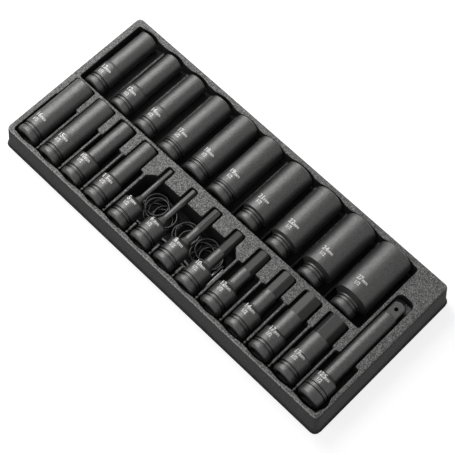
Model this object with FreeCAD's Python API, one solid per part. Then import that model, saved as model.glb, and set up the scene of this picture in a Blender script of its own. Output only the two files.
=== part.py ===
import FreeCAD, Part
import os
import math
from FreeCAD import Vector

# Drawer tray of impact sockets: a formed plastic tray with two rows of
# tools lying on their sides.  Origin on the floor under the middle of the
# tray, +X along the long side, +Y from the front wall to the back wall.

os.makedirs("parts", exist_ok=True)

UP = Vector(0, 0, 1)
ALONG_X = Vector(1, 0, 0)
ALONG_Y = Vector(0, 1, 0)

# ---- the two rows of tools ------------------------------------------------
SOCKET_LENGTH = 78.0
BACK_END_ROOM = 4.0        # pocket longer than the sockets, back row
FRONT_END_ROOM = 6.3       # front wall of the cells to the middle line, less a socket

# ---- tray shell -----------------------------------------------------------
BACK_RIM = 7.1             # flat rim behind the back pocket
SIDE_FLARE = 10.0          # foot longer than the top face
END_FLARE = 6.8            # foot wider than the top face
TOP_LENGTH = 410.0         # top face, edge to edge
TOP_WIDTH = 2.0 * (SOCKET_LENGTH + BACK_END_ROOM + BACK_RIM)
TRAY_LENGTH = TOP_LENGTH + SIDE_FLARE
TRAY_WIDTH = TOP_WIDTH + END_FLARE
TRAY_HEIGHT = 33.7         # floor to the top face
LIP_STEP = 1.6             # how far the foot lip stands out of the skirt
LIP_HEIGHT = 2.0
CORNER_RADIUS = 5.0        # upright corners of the skirt
EDGE_ROUND = 1.6           # rounding round the top face
SHEET = 2.0                # sheet thickness

# ---- seats ----------------------------------------------------------------
SEAT_GAP = 0.3             # between a lying tool and the bottom of its cradle
CRADLE_EASE = 1.0          # cradle radius over tool radius
BACK_AXIS_Z = 27.0         # height of the tool axes in the back row
FRONT_AXIS_Z = 30.0        # height of the tool axes in the front row

# ---- back pocket, one basin for ten sockets -------------------------------
BACK_X0 = -197.5
BACK_X1 = 173.3
BACK_Y0 = 0.0
BACK_Y1 = BACK_Y0 + SOCKET_LENGTH + BACK_END_ROOM
SCALLOP = 2.2              # the back wall bows out behind each socket
BACK_RIDGE_Z = 20.0        # top of the low ridges between the sockets
BACK_RIDGE_WIDTH = 2.4
CRADLE_DEPTH = 3.0         # the hollow each tool lies in
BACK_CORNER = 2.0

# ---- front pockets --------------------------------------------------------
RIDGES_X = [-168.5, -137.5, -106.3, -75.8, -44.6, -13.6, 17.5, 48.2, 78.8, 109.4, 140.2, 170.9]
RIDGE_WIDTH = 2.8
CELL_Y0 = -SOCKET_LENGTH - FRONT_END_ROOM
RIDGE_FRONT_GAP = 5.8      # front wall of the cells to the ridges
RIDGE_END_Y = CELL_Y0 + RIDGE_FRONT_GAP
RIDGE_FOOT_Z = 26.0        # height left between the post and the ridge
POST_FRONT_GAP = 2.8       # and to the small post in front of each ridge
POST_Y = CELL_Y0 + POST_FRONT_GAP
POST_DIAMETER = 2.8
RIDGE_DROP = 1.0           # ridges stand this much under the top face
CELL_Y1 = -28.5            # back end of the wide part of the cells
CELL_X0 = -199.3           # left wall of the first cell
CELL_SCALLOP = 1.2
CELL_ROUND = 2.0
NUT_SLOT_CLEAR = 1.8       # nut end to the end of its slot
TIP_SLOT_CLEAR = 0.9       # bit tip to the end of its slot

# ---- accessory well under the first four hex bits -------------------------
WELL_X0 = -74.0
WELL_X1 = 46.8
WELL_Y0 = -69.0
WELL_Y1 = -22.3
WELL_CORNER = 7.0          # cut-off back corners
SLOT_LAP = 4.0             # a slot starts this far inside the cell before it
WELL_FLOOR_Z = 4.0

# ---- extension bar pocket -------------------------------------------------
BAR_SLOT_X0 = 176.7
BAR_SLOT_X1 = 195.3
BAR_END_ROOM = 8.6         # male square to the back end of the slot
BAR_SLOT_ROUND = 6.0
BAR_CELL_X1 = 200.2
BAR_CELL_ROUND = 4.0
BAR_BULGE = 2.4            # the right wall bows out beside the drive end
BAR_BULGE_ROOM = (4.3, 18.3)       # both ends of it, from the front wall of the cell
BAR_SLOT_LAP = 12.0        # the bar's slot starts this far inside its cell

# ---- sockets --------------------------------------------------------------
DRIVE_SQUARE = 12.7
DRIVE_CLEARANCE = 0.15     # each side, between a male and a female square
DRIVE_DEPTH = 17.0
BORE_DIAMETER = 9.4        # passage between the square and the nut end
NUT_CLEARANCE = 0.25       # each side of the hexagon
HEX_DEPTH = 24.0
RELIEF_DEPTH = 48.0        # round clearance behind the hexagon
END_CHAMFER = 1.0
NOSE_LENGTH = 2.2          # rounded nose of a drive end
NOSE_DROP = 1.8            # its front is this much smaller in radius
NOSE_MID = 0.36            # share of both at the break between its two cones
GROOVE_START = 6.4         # retaining ring groove, from the drive end
GROOVE_WIDTH = 4.8
GROOVE_DEPTH = 1.3
RIB_WIDTH = 1.0            # low rib in the middle of the groove
RIB_DROP = 0.4             # the rib stands this much under the body
GROOVE_BREAK = 0.3         # broken edges of the groove
PIN_HOLE = 3.2
NECK_LENGTH = 13.0         # thin drive end of the large sockets
NECK_SLOPE = 0.5           # length of the shoulder over its rise in radius
STEP_AT = 27.5             # thick drive end of the small sockets
STEP_CONE = 2.5

# size, nut end and drive end diameters, x of the axis, and the room from the
# front wall of the pocket to the drive end
BACK_SOCKETS = [
    (13, 22.6, 24.0, -181.9, 1.6),
    (12, 21.8, 24.0, -146.2, 1.7),
    (14, 22.8, 24.0, -112.8, 1.7),
    (17, 26.0, 24.5, -78.2, 1.0),
    (18, 27.0, 26.0, -44.8, 3.4),
    (19, 28.0, 26.4, -11.6, 3.4),
    (21, 30.0, 24.8, 27.0, 2.0),
    (22, 32.0, 24.8, 64.9, 2.0),
    (24, 35.0, 24.8, 106.2, 2.0),
    (27, 38.0, 25.6, 148.6, 2.0),
]
# the same, and the width of the slot round the nut end
FRONT_SOCKETS = [
    (16, 24.6, 25.0, -185.1, 2.3, 25.8),
    (15, 23.0, 24.0, -154.2, 1.7, 24.2),
    (10, 17.6, 24.0, -123.1, 1.3, 22.4),
    (11, 18.6, 24.0, -91.9, 1.3, 20.6),
]

# ---- hex bits -------------------------------------------------------------
BIT_LENGTH = 75.0
BIT_BODY_OD = 24.0
BIT_BODY_LENGTH = 27.0
BIT_SHANK_RATIO = 1.11     # round shank over the width across flats
BIT_NECK = 9.0             # hollow cone between body and a thin shank
BIT_SHOULDER = 2.0
TIP_CHAMFER = 0.8

# size, x of the axis, room from the front wall of the cell to the drive end,
# length of the hexagon, turn in degrees about its own axis, width of the slot
# round the tip
HEX_BITS = [
    (5, -60.2, 1.8, 17.0, 0.0, 8.6),
    (6, -29.4, 2.0, 20.0, 12.0, 9.4),
    (8, 1.2, 2.5, 26.0, 30.0, 12.4),
    (10, 31.9, 1.1, 26.0, 0.0, 13.4),
    (12, 62.6, 2.9, 25.0, 3.0, 15.8),
    (14, 93.5, 2.9, 25.0, 20.0, 18.0),
    (17, 124.2, 3.0, 25.0, 20.0, 22.2),
    (19, 155.2, 3.4, 25.0, 0.0, 24.6),
]

# ---- extension bar --------------------------------------------------------
BAR_X = 185.4
BAR_LENGTH = 125.0
BAR_DRIVE_ROOM = 4.0       # front wall of its cell to the drive end
BAR_DRIVE_Y = CELL_Y0 + BAR_DRIVE_ROOM
BAR_SLOT_END_Y = BAR_DRIVE_Y + BAR_LENGTH + BAR_END_ROOM
BAR_BODY_OD = 25.0
BAR_BODY_LENGTH = 25.0
BAR_BODY_CONE = 3.5
BAR_SHAFT_OD = 16.4
BAR_SQUARE_LENGTH = 15.0
BAR_PIN_HOLE = 4.2
BAR_GROOVES = (9.0, 13.0)  # two narrow grooves, from the drive end
BAR_GROOVE_WIDTH = 1.2

# ---- loose spares in the well ---------------------------------------------
RING_CORD = 2.0
RING_OD = 25.0
SPARE_GAP = 0.1            # between a loose spare and what it lies on
# heaps of rings, each from the lowest ring up: x, y of the ring's middle
RING_HEAPS = [
    [(-47.7, -42.6), (-39.0, -44.0), (-37.9, -39.3), (-44.5, -38.2), (-51.0, -37.1), (-47.0, -40.5)],
    [(-13.0, -38.5), (-9.4, -36.0), (-2.5, -40.6), (-10.8, -40.0), (-9.0, -37.5)],
    [(20.5, -43.5), (21.1, -36.0), (23.5, -38.5), (14.6, -41.6), (16.2, -36.2)],
]
PIN_DIAMETER = 3.0
PIN_LENGTH = 22.0
# x, y of the middle and direction in degrees from +X
SPARE_PINS = [
    (35.6, -46.0, 88.0),
    (39.4, -49.0, 91.0),
    (43.6, -47.0, 90.0),
    (-66.0, -47.0, 84.0),
    (-20.8, -56.0, 5.0),
    (5.0, -57.0, 172.0),
    (5.0, -61.5, 178.0),
    (-46.0, -60.0, 2.0),
]


def rounded_rectangle(x0, x1, y0, y1, z, radius):
    """Closed wire of a rectangle with round corners at height z."""
    corners = [Vector(x0, y0, z), Vector(x1, y0, z), Vector(x1, y1, z), Vector(x0, y1, z)]
    centres = [
        Vector(x0 + radius, y0 + radius, z),
        Vector(x1 - radius, y0 + radius, z),
        Vector(x1 - radius, y1 - radius, z),
        Vector(x0 + radius, y1 - radius, z),
    ]
    edges = []
    for i in range(4):
        start = math.radians(180 + 90 * i)
        arc_points = []
        for step in (0.0, 0.5, 1.0):
            angle = start + math.radians(90) * step
            reach = Vector(math.cos(angle), math.sin(angle), 0) * radius
            arc_points.append(centres[i] + reach)
        edges.append(Part.Arc(*arc_points).toShape())
    wire_edges = []
    for i in range(4):
        wire_edges.append(edges[i])
        here = edges[i].valueAt(edges[i].LastParameter)
        there = edges[(i + 1) % 4].valueAt(edges[(i + 1) % 4].FirstParameter)
        wire_edges.append(Part.makeLine(here, there))
    return Part.Wire(wire_edges)


def prism(x0, x1, y0, y1, z0, z1, radius):
    """Upright block with round upright corners."""
    wire = rounded_rectangle(x0, x1, y0, y1, z0, radius)
    return Part.Face(wire).extrude(Vector(0, 0, z1 - z0))


def tube(diameter, x, z, y0, y1):
    """Solid cylinder lying along Y."""
    return Part.makeCylinder(diameter / 2.0, y1 - y0, Vector(x, y0, z), ALONG_Y)


def bow(x0, x1, y, depth, z0, z1):
    """Shallow upright segment that bows a straight pocket wall outwards."""
    middle = Vector((x0 + x1) / 2.0, y + depth, z0)
    arc = Part.Arc(Vector(x0, y, z0), middle, Vector(x1, y, z0)).toShape()
    chord = Part.makeLine(Vector(x1, y, z0), Vector(x0, y, z0))
    face = Part.Face(Part.Wire([arc, chord]))
    return face.extrude(Vector(0, 0, z1 - z0))


def channel(x0, x1, y0, y1, tool_x, tool_bottom_z, hollow_radius, hollow_depth, grow):
    """Cell open at the top, with a round hollow along its floor.

    The hollow passes SEAT_GAP under a tool lying at tool_x.
    """
    radius = hollow_radius + grow
    bottom_z = tool_bottom_z - SEAT_GAP - grow
    shoulder_z = bottom_z + hollow_depth
    half = math.sqrt(radius ** 2 - (radius - hollow_depth) ** 2)
    top_z = TRAY_HEIGHT + 1.0
    front = y0 - grow
    left = Vector(x0 - grow, front, shoulder_z)
    right = Vector(x1 + grow, front, shoulder_z)
    hollow_left = Vector(tool_x - half, front, shoulder_z)
    hollow_right = Vector(tool_x + half, front, shoulder_z)
    hollow = Part.Arc(hollow_left, Vector(tool_x, front, bottom_z), hollow_right).toShape()
    top_left = Vector(x0 - grow, front, top_z)
    top_right = Vector(x1 + grow, front, top_z)
    edges = [
        Part.makeLine(left, hollow_left),
        hollow,
        Part.makeLine(hollow_right, right),
        Part.makeLine(right, top_right),
        Part.makeLine(top_right, top_left),
        Part.makeLine(top_left, left),
    ]
    length = y1 - y0 + 2.0 * grow
    solid = Part.Face(Part.Wire(edges)).extrude(Vector(0, length, 0))
    outline = prism(x0 - grow, x1 + grow, front, front + length, bottom_z - 1.0, top_z, CELL_ROUND)
    return solid.common(outline)


def lying_slot(x, tool_bottom_z, width, y0, y1, grow):
    """Slot as wide as its round bottom, for a shank or a nut end."""
    half = width / 2.0
    return channel(x - half, x + half, y0, y1, x, tool_bottom_z, half * 1.1, half * 0.5, grow)


def trough(x0, x1, y0, y1, floor_z, grow, radius):
    """Flat-bottomed cell, open at the top."""
    return prism(
        x0 - grow, x1 + grow, y0 - grow, y1 + grow,
        floor_z - grow, TRAY_HEIGHT + 1.0, radius,
    )


def back_pocket(grow):
    """The wide back basin with ten cradles and the scallops behind them."""
    cuts = [trough(BACK_X0, BACK_X1, BACK_Y0, BACK_Y1, BACK_RIDGE_Z, grow, BACK_CORNER)]
    centres = [socket[3] for socket in BACK_SOCKETS]
    middles = [(a + b) / 2.0 for a, b in zip(centres[:-1], centres[1:])]
    lefts = [BACK_X0] + [m + BACK_RIDGE_WIDTH / 2.0 for m in middles]
    rights = [m - BACK_RIDGE_WIDTH / 2.0 for m in middles] + [BACK_X1]
    for (size, nut_od, drive_od, x, room), x0, x1 in zip(BACK_SOCKETS, lefts, rights):
        radius = max(nut_od, drive_od) / 2.0
        cuts.append(
            channel(
                x0, x1, BACK_Y0, BACK_Y1, x, BACK_AXIS_Z - radius,
                radius + CRADLE_EASE, CRADLE_DEPTH, grow,
            )
        )
        cuts.append(
            bow(
                x - radius, x + radius, BACK_Y1 + grow - 0.01, SCALLOP,
                BACK_RIDGE_Z - grow, TRAY_HEIGHT + 1.0,
            )
        )
    return cuts


def cell_sides():
    """Left and right wall of every front cell, from left to right."""
    lefts = [CELL_X0] + [x + RIDGE_WIDTH / 2.0 for x in RIDGES_X]
    rights = [x - RIDGE_WIDTH / 2.0 for x in RIDGES_X] + [BAR_CELL_X1]
    return list(zip(lefts, rights))


def front_pockets(grow):
    """Twelve cells side by side, each with a slot for the thin end."""
    sides = cell_sides()
    body_radius = BIT_BODY_OD / 2.0
    hollow_radius = body_radius + CRADLE_EASE
    floor_z = FRONT_AXIS_Z - body_radius - SEAT_GAP + CRADLE_DEPTH
    cuts = [
        trough(CELL_X0, BAR_CELL_X1, CELL_Y0, CELL_Y1, TRAY_HEIGHT - RIDGE_DROP, grow, CELL_ROUND)
    ]
    for (size, nut_od, drive_od, x, room, width), (x0, x1) in zip(FRONT_SOCKETS, sides):
        bottom_z = FRONT_AXIS_Z - max(nut_od, drive_od) / 2.0
        cuts.append(
            channel(x0, x1, CELL_Y0, CELL_Y1, x, bottom_z, hollow_radius, CRADLE_DEPTH, grow)
        )
        end_y = CELL_Y0 + room + SOCKET_LENGTH + NUT_SLOT_CLEAR
        nut_bottom_z = FRONT_AXIS_Z - nut_od / 2.0
        cuts.append(lying_slot(x, nut_bottom_z, width, CELL_Y1 - SLOT_LAP, end_y, grow))
    bit_sides = sides[len(FRONT_SOCKETS):]
    for i, (size, x, room, hex_length, turn, width) in enumerate(HEX_BITS):
        x0, x1 = bit_sides[i]
        over_well = x1 < WELL_X1 + 1.0
        cell_end_y = WELL_Y0 + 1.0 if over_well else CELL_Y1
        slot_start_y = (WELL_Y1 if over_well else CELL_Y1) - SLOT_LAP
        bottom_z = FRONT_AXIS_Z - body_radius
        cuts.append(
            channel(x0, x1, CELL_Y0, cell_end_y, x, bottom_z, hollow_radius, CRADLE_DEPTH, grow)
        )
        tip_bottom_z = FRONT_AXIS_Z - BIT_SHANK_RATIO * size / 2.0
        end_y = CELL_Y0 + room + BIT_LENGTH + TIP_SLOT_CLEAR
        cuts.append(lying_slot(x, tip_bottom_z, width, slot_start_y, end_y, grow))
    for x0, x1 in sides:
        cuts.append(
            bow(
                x1 - 2.0 * CELL_ROUND, x0 + 2.0 * CELL_ROUND, CELL_Y0 - grow + 0.01,
                -CELL_SCALLOP, floor_z - grow, TRAY_HEIGHT + 1.0,
            )
        )
    return cuts


def bar_pocket(grow):
    """Long pocket of the extension bar at the right-hand end."""
    x0 = RIDGES_X[-1] + RIDGE_WIDTH / 2.0
    body_radius = BAR_BODY_OD / 2.0
    bottom_z = FRONT_AXIS_Z - body_radius
    shaft_bottom_z = FRONT_AXIS_Z - BAR_SHAFT_OD / 2.0
    floor_z = bottom_z - SEAT_GAP + CRADLE_DEPTH - grow
    bulge_start = Vector(BAR_CELL_X1 + grow - 0.01, CELL_Y0 + BAR_BULGE_ROOM[0], floor_z)
    bulge_end = Vector(BAR_CELL_X1 + grow - 0.01, CELL_Y0 + BAR_BULGE_ROOM[1], floor_z)
    bulge_middle = (bulge_start + bulge_end) * 0.5 + Vector(BAR_BULGE, 0, 0)
    arc = Part.Arc(bulge_start, bulge_middle, bulge_end).toShape()
    bulge = Part.Face(Part.Wire([arc, Part.makeLine(bulge_end, bulge_start)]))
    slot_outline = prism(
        BAR_SLOT_X0 - grow, BAR_SLOT_X1 + grow, CELL_Y1 - BAR_SLOT_LAP, BAR_SLOT_END_Y + grow,
        0.0, TRAY_HEIGHT + 2.0, BAR_SLOT_ROUND,
    )
    slot_middle = (BAR_SLOT_X0 + BAR_SLOT_X1) / 2.0
    slot = lying_slot(
        slot_middle, shaft_bottom_z, BAR_SLOT_X1 - BAR_SLOT_X0,
        CELL_Y1 - SLOT_LAP, BAR_SLOT_END_Y, grow,
    )
    return [
        channel(
            x0, BAR_CELL_X1, CELL_Y0, CELL_Y1, BAR_X, bottom_z,
            body_radius + CRADLE_EASE, CRADLE_DEPTH, grow,
        ),
        slot.common(slot_outline),
        bulge.extrude(Vector(0, 0, TRAY_HEIGHT + 1.0 - floor_z)),
    ]


def accessory_well(grow):
    """Deep well under the first four bits, with cut-off back corners."""
    x0 = WELL_X0 - grow
    x1 = WELL_X1 + grow
    y0 = WELL_Y0 - grow
    y1 = WELL_Y1 + grow
    z = WELL_FLOOR_Z - grow
    outline = [
        Vector(x0, y0, z),
        Vector(x1, y0, z),
        Vector(x1, y1 - WELL_CORNER, z),
        Vector(x1 - WELL_CORNER, y1, z),
        Vector(x0 + WELL_CORNER, y1, z),
        Vector(x0, y1 - WELL_CORNER, z),
        Vector(x0, y0, z),
    ]
    floor = Part.Face(Part.makePolygon(outline))
    return [floor.extrude(Vector(0, 0, TRAY_HEIGHT + 1.0 - z))]


def all_pockets(grow):
    """Every pocket of the tray as one body of removed material."""
    cuts = back_pocket(grow) + front_pockets(grow) + bar_pocket(grow) + accessory_well(grow)
    return cuts[0].multiFuse(cuts[1:])


def drafted_block(length0, width0, z0, length1, width1, z1, radius):
    """Block whose four sides lean in from z0 to z1, with round corners."""
    wedge = Part.makeWedge(
        -length0 / 2.0, z0, -width0 / 2.0, -width1 / 2.0, -length1 / 2.0,
        length0 / 2.0, z1, width0 / 2.0, width1 / 2.0, length1 / 2.0,
    )
    wedge.rotate(Vector(0, 0, 0), ALONG_X, 90)
    corners = [e for e in wedge.Edges if e.BoundBox.ZLength > (z1 - z0) * 0.9]
    return wedge.makeFillet(radius, corners)


def tray_outside():
    """Skirt, foot lip and rounded top edge, still solid."""
    foot_length = TRAY_LENGTH - 2.0 * LIP_STEP
    foot_width = TRAY_WIDTH - 2.0 * LIP_STEP
    skirt = drafted_block(
        foot_length, foot_width, LIP_HEIGHT - 0.5, TOP_LENGTH, TOP_WIDTH, TRAY_HEIGHT, CORNER_RADIUS
    )
    top_edges = [e for e in skirt.Edges if e.BoundBox.ZMin > TRAY_HEIGHT - 0.01]
    skirt = skirt.makeFillet(EDGE_ROUND, top_edges)
    lip = prism(
        -TRAY_LENGTH / 2.0, TRAY_LENGTH / 2.0, -TRAY_WIDTH / 2.0, TRAY_WIDTH / 2.0,
        0.0, LIP_HEIGHT, CORNER_RADIUS + LIP_STEP,
    )
    return skirt.fuse(lip)


def tray_inside():
    """Hollow under the tray, before the pockets reach down into it."""
    foot_length = TRAY_LENGTH - 2.0 * (LIP_STEP + SHEET)
    foot_width = TRAY_WIDTH - 2.0 * (LIP_STEP + SHEET)
    return drafted_block(
        foot_length, foot_width, -1.0,
        TOP_LENGTH - 2.0 * SHEET, TOP_WIDTH - 2.0 * SHEET, TRAY_HEIGHT - SHEET,
        CORNER_RADIUS - SHEET,
    )


def posts():
    """Small posts at the front ends of the ridges."""
    shapes = []
    for x in RIDGES_X:
        height = TRAY_HEIGHT - RIDGE_DROP - WELL_FLOOR_Z
        post = Part.makeCylinder(POST_DIAMETER / 2.0, height, Vector(x, POST_Y, WELL_FLOOR_Z))
        shapes.append(post)
    return shapes


def tray():
    """The formed sheet: outside less pockets less the hollow underneath."""
    hollow = tray_inside().cut(all_pockets(SHEET))
    ridge_ends = prism(
        CELL_X0, BAR_CELL_X1, CELL_Y0, RIDGE_END_Y, RIDGE_FOOT_Z, TRAY_HEIGHT + 1.0, CELL_ROUND
    )
    removed = all_pockets(0.0).fuse(ridge_ends.cut(posts()))
    return tray_outside().cut(removed).cut(hollow).removeSplitter()


def turned(profile, x, y, z):
    """Solid of revolution lying along +Y; profile gives (distance, radius)."""
    points = [Vector(0, profile[0][0], 0)]
    points += [Vector(radius, distance, 0) for distance, radius in profile]
    points += [Vector(0, profile[-1][0], 0), Vector(0, profile[0][0], 0)]
    face = Part.Face(Part.makePolygon(points))
    solid = face.revolve(Vector(0, 0, 0), ALONG_Y, 360)
    solid.translate(Vector(x, y, z))
    return solid


def hexagon(across_flats, turn, x, z, y0, y1):
    """Hexagonal bar lying along Y; no turn puts a flat on top."""
    reach = across_flats / math.sqrt(3.0)
    points = []
    for i in range(7):
        angle = math.radians(60.0 * i + turn)
        points.append(Vector(x + reach * math.cos(angle), y0, z + reach * math.sin(angle)))
    return Part.Face(Part.makePolygon(points)).extrude(Vector(0, y1 - y0, 0))


def square_bar(side, x, z, y0, y1):
    """Square bar lying along Y."""
    corner = Vector(x - side / 2.0, y0, z - side / 2.0)
    return Part.makeBox(side, y1 - y0, side, corner)


def rounded_nose(radius):
    """Profile of the front of a drive end: two cones that round it."""
    return [
        (0.0, radius - NOSE_DROP),
        (NOSE_MID * NOSE_LENGTH, radius - NOSE_MID * NOSE_DROP),
        (NOSE_LENGTH, radius),
    ]


def drive_end(radius):
    """Profile of a drive end: rounded nose, ring groove with a low rib."""
    groove_end = GROOVE_START + GROOVE_WIDTH
    rib_start = GROOVE_START + (GROOVE_WIDTH - RIB_WIDTH) / 2.0
    rib_end = rib_start + RIB_WIDTH
    return rounded_nose(radius) + [
        (GROOVE_START - GROOVE_BREAK, radius),
        (GROOVE_START, radius - GROOVE_BREAK),
        (GROOVE_START, radius - GROOVE_DEPTH),
        (rib_start, radius - GROOVE_DEPTH),
        (rib_start, radius - RIB_DROP),
        (rib_end, radius - RIB_DROP),
        (rib_end, radius - GROOVE_DEPTH),
        (groove_end, radius - GROOVE_DEPTH),
        (groove_end, radius - GROOVE_BREAK),
        (groove_end + GROOVE_BREAK, radius),
    ]


def drive_recess(x, y, z):
    """Square recess of the drive end and the retaining pin hole across it."""
    side = DRIVE_SQUARE + 2.0 * DRIVE_CLEARANCE
    hole_y = y + GROOVE_START + GROOVE_WIDTH / 2.0
    reach = 1.5 * DRIVE_SQUARE
    pin_hole = Part.makeCylinder(PIN_HOLE / 2.0, 2.0 * reach, Vector(x - reach, hole_y, z), ALONG_X)
    return [square_bar(side, x, z, y - 1.0, y + DRIVE_DEPTH), pin_hole]


def socket(size, nut_od, drive_od, x, y, z):
    """Deep impact socket lying along +Y, drive end in front."""
    nut_radius = nut_od / 2.0
    drive_radius = drive_od / 2.0
    profile = drive_end(drive_radius)
    if nut_radius > drive_radius:
        shoulder = NECK_SLOPE * (nut_radius - drive_radius)
        profile += [(NECK_LENGTH, drive_radius), (NECK_LENGTH + shoulder, nut_radius)]
    else:
        profile += [(STEP_AT, drive_radius), (STEP_AT + STEP_CONE, nut_radius)]
    profile += [
        (SOCKET_LENGTH - END_CHAMFER, nut_radius),
        (SOCKET_LENGTH, nut_radius - END_CHAMFER),
    ]
    body = turned(profile, x, y, z)
    mouth = size + 2.0 * NUT_CLEARANCE
    end_y = y + SOCKET_LENGTH
    cuts = drive_recess(x, y, z)
    cuts.append(hexagon(mouth, 0.0, x, z, end_y - HEX_DEPTH, end_y + 1.0))
    cuts.append(tube(mouth, x, z, end_y - RELIEF_DEPTH, end_y))
    cuts.append(tube(BORE_DIAMETER, x, z, y + 1.0, end_y))
    return body.cut(cuts)


def hex_bit(size, x, y, z, hex_length, turn):
    """Impact hex bit: round drive body, turned shank, milled hexagon."""
    body_radius = BIT_BODY_OD / 2.0
    shank_radius = BIT_SHANK_RATIO * size / 2.0
    neck = min(BIT_NECK, (body_radius - BIT_SHOULDER - shank_radius) * 1.4)
    neck_mid = BIT_BODY_LENGTH + neck * 0.3
    neck_radius = shank_radius + (body_radius - BIT_SHOULDER - shank_radius) * 0.3
    profile = drive_end(body_radius)
    profile += [
        (BIT_BODY_LENGTH - BIT_SHOULDER, body_radius),
        (BIT_BODY_LENGTH, body_radius - BIT_SHOULDER),
        (neck_mid, neck_radius),
        (BIT_BODY_LENGTH + neck, shank_radius),
        (BIT_LENGTH - TIP_CHAMFER, shank_radius),
        (BIT_LENGTH, shank_radius - TIP_CHAMFER),
    ]
    solid = turned(profile, x, y, z)
    hex_start_y = y + BIT_LENGTH - hex_length
    sleeve = tube(2.0 * body_radius, x, z, hex_start_y, y + BIT_LENGTH + 1.0)
    waste = sleeve.cut(hexagon(size, turn, x, z, hex_start_y - 1.0, y + BIT_LENGTH + 2.0))
    return solid.cut([waste] + drive_recess(x, y, z))


def extension_bar():
    """Extension bar: female drive body in front, male square at the back."""
    body_radius = BAR_BODY_OD / 2.0
    shaft_radius = BAR_SHAFT_OD / 2.0
    profile = rounded_nose(body_radius)
    for start in BAR_GROOVES:
        profile += [
            (start, body_radius),
            (start, body_radius - GROOVE_DEPTH),
            (start + BAR_GROOVE_WIDTH, body_radius - GROOVE_DEPTH),
            (start + BAR_GROOVE_WIDTH, body_radius),
        ]
    shaft_end = BAR_LENGTH - BAR_SQUARE_LENGTH
    profile += [
        (BAR_BODY_LENGTH, body_radius),
        (BAR_BODY_LENGTH + BAR_BODY_CONE, shaft_radius),
        (shaft_end - END_CHAMFER, shaft_radius),
        (shaft_end, shaft_radius - END_CHAMFER),
    ]
    solid = turned(profile, BAR_X, BAR_DRIVE_Y, FRONT_AXIS_Z)
    end_y = BAR_DRIVE_Y + BAR_LENGTH
    male = square_bar(
        DRIVE_SQUARE, BAR_X, FRONT_AXIS_Z, BAR_DRIVE_Y + shaft_end - 2.0, end_y
    )
    turned_square = turned(
        [
            (0.0, shaft_radius),
            (BAR_SQUARE_LENGTH, shaft_radius),
            (BAR_SQUARE_LENGTH + 2.0, DRIVE_SQUARE / 2.0 + 0.25),
        ],
        BAR_X, end_y - BAR_SQUARE_LENGTH - 2.0, FRONT_AXIS_Z,
    )
    male = male.common(turned_square)
    hole = Part.makeCylinder(
        BAR_PIN_HOLE / 2.0, DRIVE_SQUARE + 2.0,
        Vector(BAR_X, end_y - BAR_SQUARE_LENGTH / 2.0, FRONT_AXIS_Z - DRIVE_SQUARE / 2.0 - 1.0),
    )
    side = DRIVE_SQUARE + 2.0 * DRIVE_CLEARANCE
    recess = square_bar(side, BAR_X, FRONT_AXIS_Z, BAR_DRIVE_Y - 1.0, BAR_DRIVE_Y + DRIVE_DEPTH)
    return solid.fuse(male).cut([hole, recess]).removeSplitter()


def retaining_rings():
    """Loose rubber rings, heaped on the floor of the well."""
    rings = []
    for heap in RING_HEAPS:
        z = WELL_FLOOR_Z + SPARE_GAP + RING_CORD / 2.0
        for x, y in heap:
            rings.append(Part.makeTorus((RING_OD - RING_CORD) / 2.0, RING_CORD / 2.0, Vector(x, y, z), UP))
            z += RING_CORD + SPARE_GAP
    return Part.makeCompound(rings)


def retaining_pins():
    """Loose steel pins on the floor of the well."""
    pins = []
    z = WELL_FLOOR_Z + SPARE_GAP + PIN_DIAMETER / 2.0
    for x, y, heading in SPARE_PINS:
        angle = math.radians(heading)
        direction = Vector(math.cos(angle), math.sin(angle), 0)
        start = Vector(x, y, z) - direction * (PIN_LENGTH / 2.0)
        pins.append(Part.makeCylinder(PIN_DIAMETER / 2.0, PIN_LENGTH, start, direction))
    return Part.makeCompound(pins)


tray().exportStep("parts/tray.step")
for size, nut_od, drive_od, x, room in BACK_SOCKETS:
    tool = socket(size, nut_od, drive_od, x, BACK_Y0 + room, BACK_AXIS_Z)
    tool.exportStep("parts/socket_%dmm.step" % size)
for size, nut_od, drive_od, x, room, width in FRONT_SOCKETS:
    tool = socket(size, nut_od, drive_od, x, CELL_Y0 + room, FRONT_AXIS_Z)
    tool.exportStep("parts/socket_%dmm.step" % size)
for size, x, room, hex_length, turn, width in HEX_BITS:
    bit = hex_bit(size, x, CELL_Y0 + room, FRONT_AXIS_Z, hex_length, turn)
    bit.exportStep("parts/hex_bit_%dmm.step" % size)
extension_bar().exportStep("parts/extension_bar.step")
retaining_rings().exportStep("parts/retaining_rings.step")
retaining_pins().exportStep("parts/retaining_pins.step")
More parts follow.
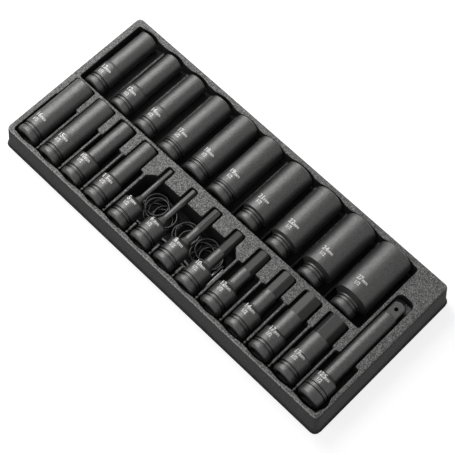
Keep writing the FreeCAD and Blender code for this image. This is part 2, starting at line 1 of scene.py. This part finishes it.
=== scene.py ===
import math
import bmesh
import bpy
from mathutils import Euler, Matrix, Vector


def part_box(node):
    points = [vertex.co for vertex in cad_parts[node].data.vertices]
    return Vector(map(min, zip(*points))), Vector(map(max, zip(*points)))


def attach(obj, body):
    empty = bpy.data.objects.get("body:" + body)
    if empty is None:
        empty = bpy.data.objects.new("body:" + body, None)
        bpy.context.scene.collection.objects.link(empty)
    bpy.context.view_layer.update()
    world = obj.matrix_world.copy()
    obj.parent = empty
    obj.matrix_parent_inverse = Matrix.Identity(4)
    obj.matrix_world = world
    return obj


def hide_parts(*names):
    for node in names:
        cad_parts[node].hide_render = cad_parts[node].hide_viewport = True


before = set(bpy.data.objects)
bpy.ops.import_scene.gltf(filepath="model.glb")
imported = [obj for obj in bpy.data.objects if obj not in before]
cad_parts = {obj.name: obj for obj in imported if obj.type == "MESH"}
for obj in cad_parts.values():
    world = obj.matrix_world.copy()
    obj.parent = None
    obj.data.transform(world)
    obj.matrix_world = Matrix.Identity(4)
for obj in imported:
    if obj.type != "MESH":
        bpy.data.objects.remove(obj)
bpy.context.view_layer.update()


# ---- Formed tray --------------------------------------------------------
# One sheet of black ABS with a pebbled haircell grain, heated and drawn down
# over a tool.  The grain stays open on the top and the skirt and is pulled
# flat where the sheet stretches into the pockets.  There, and on steep faces,
# the colour is painted near black as painted shade, darker the deeper it lies,
# and the front top edge is painted lighter as a painted highlight.
PEBBLE_LOW = (0.032, 0.032, 0.032, 1.0)
PEBBLE_MID = (0.103, 0.1025, 0.101, 1.0)
PEBBLE_HIGH = (0.290, 0.288, 0.284, 1.0)
PEBBLE_STOPS = [(0.38, PEBBLE_LOW), (0.50, PEBBLE_MID), (0.64, PEBBLE_HIGH)]
# painted shade: near black for the pockets and the steep faces
POCKET_SHADE_BLACK = (0.009, 0.009, 0.009, 1.0)
# painted highlight along the front top edge
FRONT_HIGHLIGHT_GREY = (0.42, 0.42, 0.41, 1.0)
PEBBLES_PER_METRE = 930.0
PEBBLE_HEIGHT = 0.0004
PEBBLE_STRENGTH = 0.8
UNSHADED_GRAIN_Z = 0.0320       # the grain is fully open and unshaded above this height
SHADED_FLAT_GRAIN_Z = 0.0080       # and fully drawn flat and painted as shade below this one
GRAIN_AND_SHADE_FALL = 4.0            # power by which grain and painted shade close in between
LEVEL_FACING = (0.35, 0.85)         # steep to level, as the upright part of the normal; steeper faces get the painted shade
RIDGE_Z = 0.0190            # the grain opens again on the ridges of the back pocket
BACK_START_Y = (0.010, 0.050)
SKIRT_X = 0.2040            # outside these the sheet is skirt
SKIRT_Y = 0.0870
SKIRT_GRAIN_UNSHADED = 0.20          # the skirt is drawn, so its grain is partly open and its colour partly painted as shade
EDGE_START = (0.25, 0.55)   # the rounded edge starts and ends at these slopes
EDGE_END = (0.995, 0.93)
EDGE_Z = (0.028, 0.031)     # and gets its painted highlight from here up
HIGHLIGHT_PEBBLES = (0.38, 0.60)
HANDLING_PER_METRE = 45.0
OPEN_ROUGHNESS = ((0.3, 0.58), (0.75, 0.70))
DRAWN_ROUGHNESS = 0.80
SHEET_REFLECTION = 0.2


def new_finish(name):
    """Empty node material; gives its nodes, its links and the gloss shader."""
    finish = bpy.data.materials.new(name)
    finish.use_nodes = True
    nodes = finish.node_tree.nodes
    links = finish.node_tree.links
    shader = nodes["Principled BSDF"]
    return finish, nodes, links, shader


def object_place(nodes):
    """Place on the piece in metres, the same at every pose."""
    return nodes.new("ShaderNodeTexCoord").outputs["Object"]


def cloud(nodes, links, place, scale, detail, roughness=0.5):
    """Soft random pattern with so many patches to the metre."""
    noise = nodes.new("ShaderNodeTexNoise")
    noise.inputs["Scale"].default_value = scale
    noise.inputs["Detail"].default_value = detail
    noise.inputs["Roughness"].default_value = roughness
    links.new(place, noise.inputs["Vector"])
    return noise.outputs["Fac"]


def ramp(nodes, links, value, stops):
    """Colour ramp over a pattern, from a list of (position, colour)."""
    node = nodes.new("ShaderNodeValToRGB")
    elements = node.color_ramp.elements
    while len(elements) < len(stops):
        elements.new(0.5)
    for element, (position, colour) in zip(elements, stops):
        element.position = position
        element.color = colour
    links.new(value, node.inputs["Fac"])
    return node.outputs["Color"]


def grey(level):
    """Colour of one grey level."""
    return (level, level, level, 1.0)


def greys(nodes, links, value, low, high):
    """Grey ramp over a pattern; its two ends are each a (position, level)."""
    return ramp(nodes, links, value, [(low[0], grey(low[1])), (high[0], grey(high[1]))])


def span(nodes, links, value, low, high):
    """Nought to one between two values."""
    node = nodes.new("ShaderNodeMapRange")
    node.inputs["From Min"].default_value = low
    node.inputs["From Max"].default_value = high
    links.new(value, node.inputs["Value"])
    return node.outputs["Result"]


def combine(nodes, links, operation, first, second):
    """One number out of two; the second may be a plain number."""
    node = nodes.new("ShaderNodeMath")
    node.operation = operation
    links.new(first, node.inputs[0])
    if isinstance(second, float):
        node.inputs[1].default_value = second
    else:
        links.new(second, node.inputs[1])
    return node.outputs["Value"]


def times(nodes, links, first, second):
    """Product of two numbers."""
    return combine(nodes, links, "MULTIPLY", first, second)


def beyond(nodes, links, value, limit):
    """One where a number is further from nought than a limit."""
    return combine(nodes, links, "GREATER_THAN", combine(nodes, links, "ABSOLUTE", value, 0.0), limit)


def mix(nodes, links, share, first, second):
    """Colour between two, each a colour or another pattern's colour."""
    node = nodes.new("ShaderNodeMix")
    node.data_type = "RGBA"
    links.new(share, node.inputs["Factor"])
    for name, colour in ((6, first), (7, second)):
        if isinstance(colour, tuple):
            node.inputs[name].default_value = colour
        else:
            links.new(colour, node.inputs[name])
    return node.outputs[2]


def sheet_zones(nodes, links, place):
    """Two patterns: how open the grain is and how little painted shade it has, and where the front
    edge carries a painted highlight.
    """
    at = nodes.new("ShaderNodeSeparateXYZ")
    links.new(place, at.inputs[0])
    facing = nodes.new("ShaderNodeSeparateXYZ")
    links.new(nodes.new("ShaderNodeNewGeometry").outputs["Normal"], facing.inputs[0])
    upright = facing.outputs["Z"]
    height = span(nodes, links, at.outputs["Z"], SHADED_FLAT_GRAIN_Z, UNSHADED_GRAIN_Z)
    pocket = combine(nodes, links, "POWER", height, GRAIN_AND_SHADE_FALL)
    raised = combine(nodes, links, "GREATER_THAN", at.outputs["Z"], RIDGE_Z)
    ridge = times(nodes, links, raised, span(nodes, links, at.outputs["Y"], *BACK_START_Y))
    grain_and_shade = combine(nodes, links, "MAXIMUM", pocket, ridge)
    grain_and_shade = times(nodes, links, grain_and_shade, span(nodes, links, upright, *LEVEL_FACING))
    end = beyond(nodes, links, at.outputs["X"], SKIRT_X)
    side = beyond(nodes, links, at.outputs["Y"], SKIRT_Y)
    skirt = times(nodes, links, combine(nodes, links, "MAXIMUM", end, side), SKIRT_GRAIN_UNSHADED)
    edge = span(nodes, links, upright, *EDGE_START)
    edge = times(nodes, links, edge, span(nodes, links, upright, *EDGE_END))
    # the painted highlight is kept to the front edge
    front = combine(nodes, links, "LESS_THAN", at.outputs["Y"], -SKIRT_Y)
    front_highlight = times(nodes, links, edge, front)
    front_highlight = times(nodes, links, front_highlight, span(nodes, links, at.outputs["Z"], *EDGE_Z))
    return combine(nodes, links, "MAXIMUM", grain_and_shade, skirt), front_highlight


def tray_finish():
    """Black ABS: pebbled where the grain is open, plain where it is drawn and painted near black
    there as painted shade.
    """
    finish, nodes, links, shader = new_finish("black_abs_sheet")
    place = object_place(nodes)
    grain_and_shade, front_highlight = sheet_zones(nodes, links, place)
    pebbles = cloud(nodes, links, place, PEBBLES_PER_METRE, 3.0, 0.7)
    handling = cloud(nodes, links, place, HANDLING_PER_METRE, 3.0)
    # painted shade: the colour goes to near black where the grain closes
    colour = mix(nodes, links, grain_and_shade, POCKET_SHADE_BLACK, ramp(nodes, links, pebbles, PEBBLE_STOPS))
    # painted highlight: lighter grey on the front top edge, patchy with the pebbles
    wear_and_highlight = times(nodes, links, front_highlight, span(nodes, links, pebbles, *HIGHLIGHT_PEBBLES))
    links.new(mix(nodes, links, wear_and_highlight, colour, FRONT_HIGHLIGHT_GREY), shader.inputs["Base Color"])
    gloss = greys(nodes, links, handling, *OPEN_ROUGHNESS)
    links.new(mix(nodes, links, grain_and_shade, grey(DRAWN_ROUGHNESS), gloss), shader.inputs["Roughness"])
    shader.inputs["Specular IOR Level"].default_value = SHEET_REFLECTION
    bump = nodes.new("ShaderNodeBump")
    bump.inputs["Distance"].default_value = PEBBLE_HEIGHT
    links.new(times(nodes, links, grain_and_shade, PEBBLE_STRENGTH), bump.inputs["Strength"])
    links.new(pebbles, bump.inputs["Height"])
    links.new(bump.outputs["Normal"], shader.inputs["Normal"])
    return finish


def put_on(node, finish):
    """Gives every surface of a carried piece its finish."""
    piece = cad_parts[node]
    piece.data.materials.clear()
    piece.data.materials.append(finish)


SHEET_GRID = 0.0007         # the sheet is rebuilt on a grid this fine
ROLL_SHARE = 0.5            # then each pass moves a point half way to its neighbours
ROLL_PASSES = 8


def formed_sheet(finish):
    """The tray's sheet with all its edges rolled as forming leaves them."""
    sheet = bpy.data.objects.new("formed_sheet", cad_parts["tray"].data.copy())
    bpy.context.scene.collection.objects.link(sheet)
    sheet.data.materials.clear()
    sheet.data.materials.append(finish)
    grid = sheet.modifiers.new("even_sheet", "REMESH")
    grid.mode = "VOXEL"
    grid.voxel_size = SHEET_GRID
    grid.use_smooth_shade = True
    roll = sheet.modifiers.new("rolled_edges", "SMOOTH")
    roll.factor = ROLL_SHARE
    roll.iterations = ROLL_PASSES
    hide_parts("tray")
    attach(sheet, "tray")


formed_sheet(tray_finish())


# ---- Deep sockets -------------------------------------------------------
# Ten in the back basin and four in the front cells: chrome-molybdenum steel,
# turned and hardened, then phosphated to an even dark grey.  The ring groove
# and other inside corners are painted darker as painted shade, and the edges
# are worn a little brighter.
STEEL_DARK = (0.047, 0.0465, 0.046, 1.0)
STEEL_WORN = (0.086, 0.0855, 0.0845, 1.0)
# painted shade in the ring groove and other inside corners
CREASE_SHADE_BLACK = (0.010, 0.010, 0.010, 1.0)
EDGE_BRIGHT = (0.150, 0.148, 0.145, 1.0)
GROOVE_REACH = 0.0030       # painted shade reaches this near to an inside corner
EDGE_REACH = 0.0006         # and an edge is worn this far in
EDGE_WEAR = (0.80, 0.40)    # share of open sky at which wear starts and is full
OPEN_STEEL = (0.30, 0.95)   # the same for steel free of painted shade
CRYSTALS_PER_METRE = 850.0
CRYSTAL_ENDS = (0.36, 0.66)  # of the pattern, all dark and all worn
WEAR_PER_METRE = 160.0
WORN_PATCHES = (0.30, 0.60)
STEEL_ROUGHNESS = ((0.3, 0.37), (0.7, 0.46))
STEEL_METAL = 0.75
TURNING_LINE = 262.0        # coarse tool marks, some 1.2 mm apart
TURNING_FINE = 1400.0
LINE_WANDER = 0.6           # how unevenly the coarse and the fine marks run
FINE_WANDER = 1.5
LINE_SHARE = 2.0            # coarse marks over fine ones
TURNING_HEIGHT = 0.0002
TURNING_STRENGTH = 0.10
ETCH_FAINT = (0.20, 0.20, 0.195, 1.0)
ETCH_CLEAR = (0.74, 0.73, 0.71, 1.0)
ETCH_STOPS = [(0.34, ETCH_FAINT), (0.58, ETCH_CLEAR)]
ETCH_ROUGHNESS = ((0.3, 0.75), (0.7, 0.55))
ETCH_PATCHES = 1100.0       # per metre
ETCH_DEPTH = 0.00008
ETCH_SPREAD = 0.00014
ETCH_STRIP = 0.0005         # figures are cut into strips this wide to bend
ETCH_TURN = math.radians(-10.0)
LINE_PITCH = 0.0057         # upper line of figures over the lower one
# figures, their height and width, and how far right of the middle they stand
DRIVE_FIGURES = ("1/2", 0.0052, 0.0062, -0.0010)
SIZE_HEIGHT = 0.0066
SIZE_WIDTH = 0.0033         # of each figure
SIZE_SHIFT = -0.0026
UNIT_FIGURES = ("mm", 0.0044, 0.0062, 0.0040)
# nut size: from the drive end to the foot of the lower line
SOCKET_MARKS = {
    "13": 0.0139, "12": 0.0138, "14": 0.0143, "17": 0.0175, "18": 0.0181,
    "19": 0.0191, "21": 0.0205, "22": 0.0215, "24": 0.0235, "27": 0.0240,
    "16": 0.0155, "15": 0.0161, "10": 0.0165, "11": 0.0165,
}


def closeness(nodes, reach, inside):
    """One on open steel, less beside a corner: an inner one, or an edge."""
    node = nodes.new("ShaderNodeAmbientOcclusion")
    node.samples = 8
    node.only_local = True
    node.inside = inside
    node.inputs["Distance"].default_value = reach
    return node.outputs["AO"]


def turning(nodes, links, place, scale, wander):
    """Rings left by the lathe round the axis of a lying tool."""
    rings = nodes.new("ShaderNodeTexWave")
    rings.bands_direction = "Y"
    rings.inputs["Scale"].default_value = scale
    rings.inputs["Distortion"].default_value = wander
    links.new(place, rings.inputs["Vector"])
    return rings.outputs["Fac"]


def steel_finish(name, dark, wear_and_highlight, flats=None):
    """Phosphated steel; flats say where a milled end starts, its grey painted as shade, and its
    roughness.
    """
    finish, nodes, links, shader = new_finish(name)
    place = object_place(nodes)
    crystals = cloud(nodes, links, place, CRYSTALS_PER_METRE, 4.0, 0.65)
    steel = ramp(nodes, links, crystals, list(zip(CRYSTAL_ENDS, (dark, wear_and_highlight))))
    wear = cloud(nodes, links, place, WEAR_PER_METRE, 4.0, 0.6)
    gloss = greys(nodes, links, wear, *STEEL_ROUGHNESS)
    if flats is not None:
        flats_from, flat_shade_grey, matt = flats
        at = nodes.new("ShaderNodeSeparateXYZ")
        links.new(place, at.inputs[0])
        flat = combine(nodes, links, "GREATER_THAN", at.outputs["Y"], flats_from)
        steel = mix(nodes, links, flat, steel, flat_shade_grey)
        gloss = mix(nodes, links, flat, gloss, grey(matt))
    edge = span(nodes, links, closeness(nodes, EDGE_REACH, True), *EDGE_WEAR)
    edge = times(nodes, links, edge, span(nodes, links, wear, *WORN_PATCHES))
    # painted shade: steel near inside corners turns towards near black
    unshaded = span(nodes, links, closeness(nodes, GROOVE_REACH, False), *OPEN_STEEL)
    steel = mix(nodes, links, edge, steel, EDGE_BRIGHT)
    links.new(mix(nodes, links, unshaded, CREASE_SHADE_BLACK, steel), shader.inputs["Base Color"])
    links.new(gloss, shader.inputs["Roughness"])
    shader.inputs["Metallic"].default_value = STEEL_METAL
    coarse = times(nodes, links, turning(nodes, links, place, TURNING_LINE, LINE_WANDER), wear)
    fine = turning(nodes, links, place, TURNING_FINE, FINE_WANDER)
    surface = combine(nodes, links, "ADD", fine, crystals)
    surface = combine(nodes, links, "ADD", surface, times(nodes, links, coarse, LINE_SHARE))
    marks = nodes.new("ShaderNodeBump")
    marks.inputs["Strength"].default_value = TURNING_STRENGTH
    marks.inputs["Distance"].default_value = TURNING_HEIGHT
    links.new(surface, marks.inputs["Height"])
    links.new(marks.outputs["Normal"], shader.inputs["Normal"])
    return finish


def etch_finish():
    """Pale etched steel, patchy where handling has rubbed it."""
    finish, nodes, links, shader = new_finish("etched_figures")
    place = object_place(nodes)
    patches = cloud(nodes, links, place, ETCH_PATCHES, 3.0, 0.6)
    links.new(ramp(nodes, links, patches, ETCH_STOPS), shader.inputs["Base Color"])
    links.new(greys(nodes, links, patches, *ETCH_ROUGHNESS), shader.inputs["Roughness"])
    return finish


def etched_figures(words, height, width):
    """Flat mesh of one group of figures, its middle over the origin."""
    letters = bpy.data.curves.new("figures", "FONT")
    letters.body = words
    letters.size = height
    letters.align_x = "CENTER"
    letters.extrude = ETCH_DEPTH
    letters.offset = ETCH_SPREAD
    letters.resolution_u = 3
    holder = bpy.data.objects.new("figures", letters)
    flat = bmesh.new()
    flat.from_mesh(bpy.data.meshes.new_from_object(holder))
    bpy.data.objects.remove(holder)
    bpy.data.curves.remove(letters)
    reach = max(abs(v.co.x) for v in flat.verts)
    for v in flat.verts:
        v.co.x *= width / 2 / reach
    cut = -width / 2
    while cut < width / 2:
        everything = flat.verts[:] + flat.edges[:] + flat.faces[:]
        bmesh.ops.bisect_plane(flat, geom=everything, plane_co=(cut, 0, 0), plane_no=(1, 0, 0))
        cut += ETCH_STRIP
    return flat


def etched_mark(node, size, from_drive, finish):
    """Size of the tool over the size of its drive, wrapped round the tool."""
    low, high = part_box(node)
    middle = (low + high) / 2
    radius = (high.x - low.x) / 2
    upper = low.y + from_drive + LINE_PITCH
    lines = [
        (*DRIVE_FIGURES, low.y + from_drive),
        (size, SIZE_HEIGHT, SIZE_WIDTH * len(size), SIZE_SHIFT, upper),
        (*UNIT_FIGURES, upper),
    ]
    mark = bmesh.new()
    for words, height, width, shift, foot in lines:
        flat = etched_figures(words, height, width)
        for v in flat.verts:
            turn = (v.co.x + shift) / radius + ETCH_TURN
            out = radius + v.co.z
            across = middle.x + out * math.sin(turn)
            v.co = Vector((across, foot + v.co.y, middle.z + out * math.cos(turn)))
        part = bpy.data.meshes.new("part")
        flat.to_mesh(part)
        flat.free()
        mark.from_mesh(part)
        bpy.data.meshes.remove(part)
    mesh = bpy.data.meshes.new(node + "_mark")
    mark.to_mesh(mesh)
    mark.free()
    mesh.materials.append(finish)
    piece = bpy.data.objects.new(node + "_mark", mesh)
    bpy.context.scene.collection.objects.link(piece)
    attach(piece, node)


phosphate = steel_finish("phosphated_steel", STEEL_DARK, STEEL_WORN)
etching = etch_finish()
for size, from_drive in SOCKET_MARKS.items():
    socket = "socket_" + size + "mm"
    put_on(socket, phosphate)
    etched_mark(socket, size, from_drive, etching)


# ---- Hex bits -----------------------------------------------------------
# Eight keys turned from the same steel, with a round drive body in front.
# The tip end is milled to a hexagon whose flats are rougher than the shank and painted darker as
# painted shade.
# painted shade: the hex flats are painted darker than the shank
SHADED_FLAT_GREY = (0.034, 0.0335, 0.033, 1.0)
THIN_KEYS = ("5", "6", "8")
THIN_SHADED_FLAT = (0.052, 0.0515, 0.051, 1.0)    # their flats are painted with less shade
FLAT_ROUGHNESS = 0.52
BIT_MARK = 0.0165           # from the drive end to the foot of the lower line
# key size: from the tip back to the start of the flats
BIT_FLATS = {
    "5": 0.017, "6": 0.020, "8": 0.026, "10": 0.026,
    "12": 0.025, "14": 0.025, "17": 0.025, "19": 0.025,
}

for size, length in BIT_FLATS.items():
    bit = "hex_bit_" + size + "mm"
    flats_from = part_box(bit)[1].y - length
    flat_shade_grey = THIN_SHADED_FLAT if size in THIN_KEYS else SHADED_FLAT_GREY
    milled = (flats_from, flat_shade_grey, FLAT_ROUGHNESS)
    put_on(bit, steel_finish(bit + "_steel", STEEL_DARK, STEEL_WORN, milled))
    etched_mark(bit, size, BIT_MARK, etching)


# ---- Extension bar ------------------------------------------------------
# One bar forged and turned from the same steel, with two narrow grooves round
# its drive body and its length etched beside them.
BAR_MARK = 0.0158
put_on("extension_bar", phosphate)
etched_mark("extension_bar", "125", BAR_MARK, etching)


# ---- Retaining rings ----------------------------------------------------
# Moulded rubber rings that hold a pin in its socket.  They lie in three
# loose heaps on the floor of the well and shine along their crowns only.
BLOOM_PER_METRE = 500.0
RUBBER_GREY = ((0.3, 0.006), (0.7, 0.014))
RUBBER_ROUGHNESS = ((0.3, 0.30), (0.7, 0.42))


def rubber_finish():
    """Black rubber with a faint bloom in patches."""
    finish, nodes, links, shader = new_finish("black_rubber")
    place = object_place(nodes)
    patches = cloud(nodes, links, place, BLOOM_PER_METRE, 3.0)
    links.new(greys(nodes, links, patches, *RUBBER_GREY), shader.inputs["Base Color"])
    links.new(greys(nodes, links, patches, *RUBBER_ROUGHNESS), shader.inputs["Roughness"])
    return finish


put_on("retaining_rings", rubber_finish())


# ---- Retaining pins -----------------------------------------------------
# Short ground steel pins, bare and bright under a thin film of oil, that
# pass through a socket and the drive; they lie loose beside the rings.
PIN_GREY = 0.20
PIN_BRIGHT = 0.32
put_on("retaining_pins", steel_finish("ground_pin_steel", grey(PIN_GREY), grey(PIN_BRIGHT)))


# ---- Ground and light ---------------------------------------------------
# A pale tabletop under one broad soft light above the left end, a weaker
# one in front, a faint one on the right, and an even sky.
FLOOR_SIDE = 6.0
FLOOR_DROP = 0.0003         # under the foot of the tray
FLOOR_GREY = ((0.3, 0.36), (0.7, 0.38))
FLOOR_CLOUDS = 6.0          # per metre
FLOOR_ROUGHNESS = 0.9
FLOOR_GLOW = 0.80           # added where the tabletop is seen, so that it shows white
SKY_LEVEL = 0.16
# name, place, width, depth and power of each soft light
SOFT_LIGHTS = [
    ("left_softbox", (-0.54, 0.16, 0.66), 0.5, 0.8, 8.6),
    ("front_softbox", (-0.15, -0.75, 0.75), 0.8, 0.5, 2.4),
    ("right_softbox", (0.85, 0.1, 0.70), 0.5, 1.0, 0.15),
]


def seen_directly(nodes, links):
    """One for a view of the backdrop, straight or by way of gloss or glass."""
    path = nodes.new("ShaderNodeLightPath")
    view = path.outputs["Is Camera Ray"]
    for ray in ("Is Glossy Ray", "Is Transmission Ray"):
        view = combine(nodes, links, "MAXIMUM", view, path.outputs[ray])
    return view


def floor():
    """Tabletop that shows white and still takes a shadow."""
    mesh = bpy.data.meshes.new("tabletop")
    shape = bmesh.new()
    bmesh.ops.create_grid(shape, x_segments=1, y_segments=1, size=FLOOR_SIDE / 2)
    shape.to_mesh(mesh)
    shape.free()
    table = bpy.data.objects.new("tabletop", mesh)
    table.location = (0.0, 0.0, -FLOOR_DROP)
    bpy.context.scene.collection.objects.link(table)
    finish, nodes, links, shader = new_finish("pale_tabletop")
    place = object_place(nodes)
    patches = cloud(nodes, links, place, FLOOR_CLOUDS, 2.0)
    links.new(greys(nodes, links, patches, *FLOOR_GREY), shader.inputs["Base Color"])
    shader.inputs["Roughness"].default_value = FLOOR_ROUGHNESS
    shader.inputs["Specular IOR Level"].default_value = 0.0
    shader.inputs["Emission Color"].default_value = grey(1.0)
    glow = times(nodes, links, seen_directly(nodes, links), FLOOR_GLOW)
    links.new(glow, shader.inputs["Emission Strength"])
    mesh.materials.append(finish)


def soft_light(name, place, width, depth, power):
    """Rectangular lamp aimed at the middle of the tray."""
    lamp = bpy.data.lights.new(name, "AREA")
    lamp.shape = "RECTANGLE"
    lamp.size = width
    lamp.size_y = depth
    lamp.energy = power
    holder = bpy.data.objects.new(name, lamp)
    holder.location = place
    holder.rotation_euler = (-Vector(place)).to_track_quat("-Z", "Y").to_euler()
    bpy.context.scene.collection.objects.link(holder)


def sky(level):
    """Even sky of one level, white where it is seen."""
    world = bpy.data.worlds.new("studio")
    bpy.context.scene.world = world
    world.use_nodes = True
    nodes = world.node_tree.nodes
    links = world.node_tree.links
    strength = times(nodes, links, seen_directly(nodes, links), 1.0 - level)
    links.new(combine(nodes, links, "ADD", strength, level), nodes["Background"].inputs["Strength"])
    nodes["Background"].inputs["Color"].default_value = grey(1.0)


floor()
for light in SOFT_LIGHTS:
    soft_light(*light)
sky(SKY_LEVEL)


# ---- Camera -------------------------------------------------------------
# A long lens, held in front of the tray and to the right of it and looking
# well down, so that both rows show their tops and their drive ends.
LENS = 105.182
SENSOR = 36.0
CAMERA_PLACE = (0.364655, -0.384039, 1.164049)
CAMERA_TURN = (24.14311, -0.84313, 44.80512)        # degrees
camera = bpy.data.objects.new("camera", bpy.data.cameras.new("camera"))
camera.data.lens = LENS
camera.data.sensor_width = SENSOR
camera.location = CAMERA_PLACE
camera.rotation_euler = Euler([math.radians(angle) for angle in CAMERA_TURN])
bpy.context.scene.collection.objects.link(camera)
bpy.context.scene.camera = camera
bpy.context.scene.view_settings.view_transform = "Standard"
